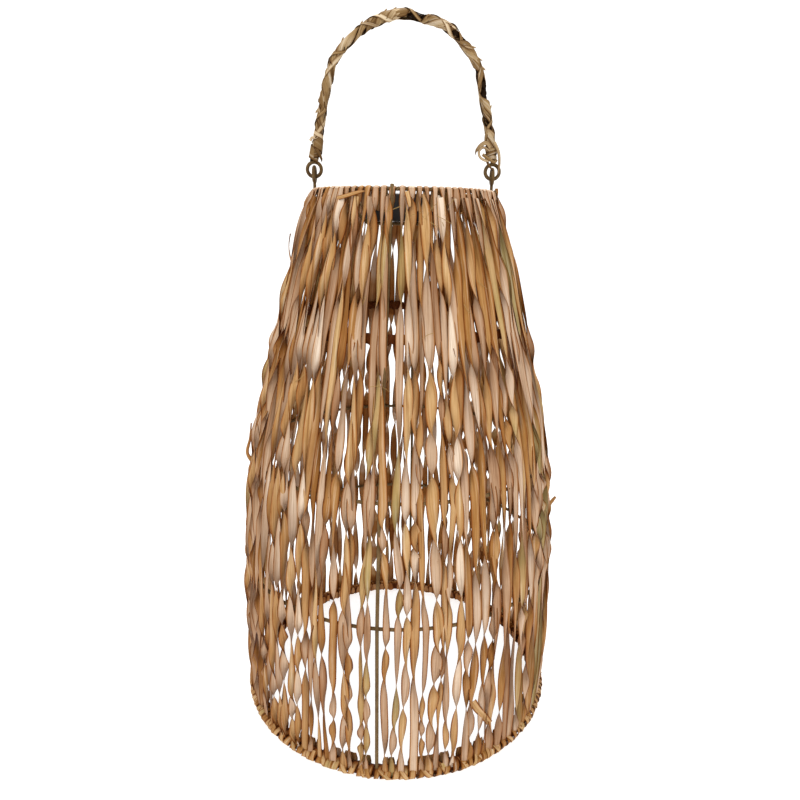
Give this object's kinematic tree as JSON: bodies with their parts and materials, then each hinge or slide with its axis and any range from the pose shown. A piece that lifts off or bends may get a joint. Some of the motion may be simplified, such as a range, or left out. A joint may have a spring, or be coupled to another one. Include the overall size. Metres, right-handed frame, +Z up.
{
  "type": "garden lantern",
  "caption": "Open bell-shaped lantern of twisted dried leaf strips on a wire frame, with a wrapped wire bail and a solar light held in its rim.",
  "frame": {"origin": "centre of the ring that the lantern stands on, at floor level", "axes": "+Z up along the lantern's axis, front towards -Y, handle in the XZ plane"},
  "size_m": [0.298, 0.298, 0.6201],
  "materials": {
    "leaf": "matte",
    "handle_leaf": "matte",
    "frame_wire": "satin",
    "black_case": "matte",
    "seal": "matte",
    "solar_cell": "gloss",
    "clear_cover": "gloss",
    "board": "satin",
    "cell": "satin",
    "contact": "satin",
    "lamp": "gloss",
    "frosted_lens": "satin",
    "screw": "satin",
    "switch_knob": "satin"
  },
  "bodies": {
    "lantern": {"top_ring": "frame_wire", "shoulder_hoop": "frame_wire", "middle_hoop": "frame_wire", "belly_hoop": "frame_wire", "base_ring": "frame_wire", "upright_right": "frame_wire", "upright_back": "frame_wire", "upright_left": "frame_wire", "upright_front": "frame_wire", "rim_eyelet_left": "frame_wire", "rim_eyelet_right": "frame_wire", "cradle_ring": "frame_wire", "cradle_arms": "frame_wire", "rim_wrap": "leaf", "shoulder_wrap": "leaf", "base_wrap": "leaf", "leaf_strips_01": "leaf", "leaf_strips_02": "leaf", "leaf_strips_03": "leaf", "leaf_strips_04": "leaf", "leaf_strips_05": "leaf", "leaf_strips_06": "leaf", "leaf_strips_07": "leaf", "leaf_strips_08": "leaf", "leaf_strips_09": "leaf", "leaf_strips_10": "leaf", "leaf_strips_11": "leaf", "leaf_strips_12": "leaf", "leaf_strips_13": "leaf", "leaf_strips_14": "leaf", "leaf_strips_15": "leaf", "leaf_strips_16": "leaf", "leaf_strips_17": "leaf", "leaf_strips_18": "leaf", "leaf_strips_19": "leaf", "leaf_strips_20": "leaf"},
    "handle": {"handle_wire": "frame_wire", "handle_wrap": "handle_leaf", "handle_tip_left": "handle_leaf", "handle_knot_right": "handle_leaf"},
    "solar_light": {"light_housing": "black_case", "base_plate": "black_case", "seal_ring": "seal", "solar_panel": "solar_cell", "panel_cover": "clear_cover", "circuit_board": "board", "battery_cell": "cell", "battery_contacts": "contact", "led": "lamp", "led_lens": "frosted_lens", "case_screws": "screw", "switch_body": "black_case"},
    "switch_knob": {"power_switch": "switch_knob"}
  },
  "joints": [
    {"name": "handle_swing", "type": "hinge", "parent": "lantern", "child": "handle", "pos_m": [0, 0, 0.4905], "axis": [1, 0, 0], "range_deg": [-92, 92]},
    {"name": "light_lift", "type": "slide", "parent": "lantern", "child": "solar_light", "axis": [0, 0, 1], "range_m": [0, 0.06]},
    {"name": "switch_slide", "type": "slide", "parent": "solar_light", "child": "switch_knob", "axis": [0, 1, 0], "range_m": [0, 0.002]}
  ]
}
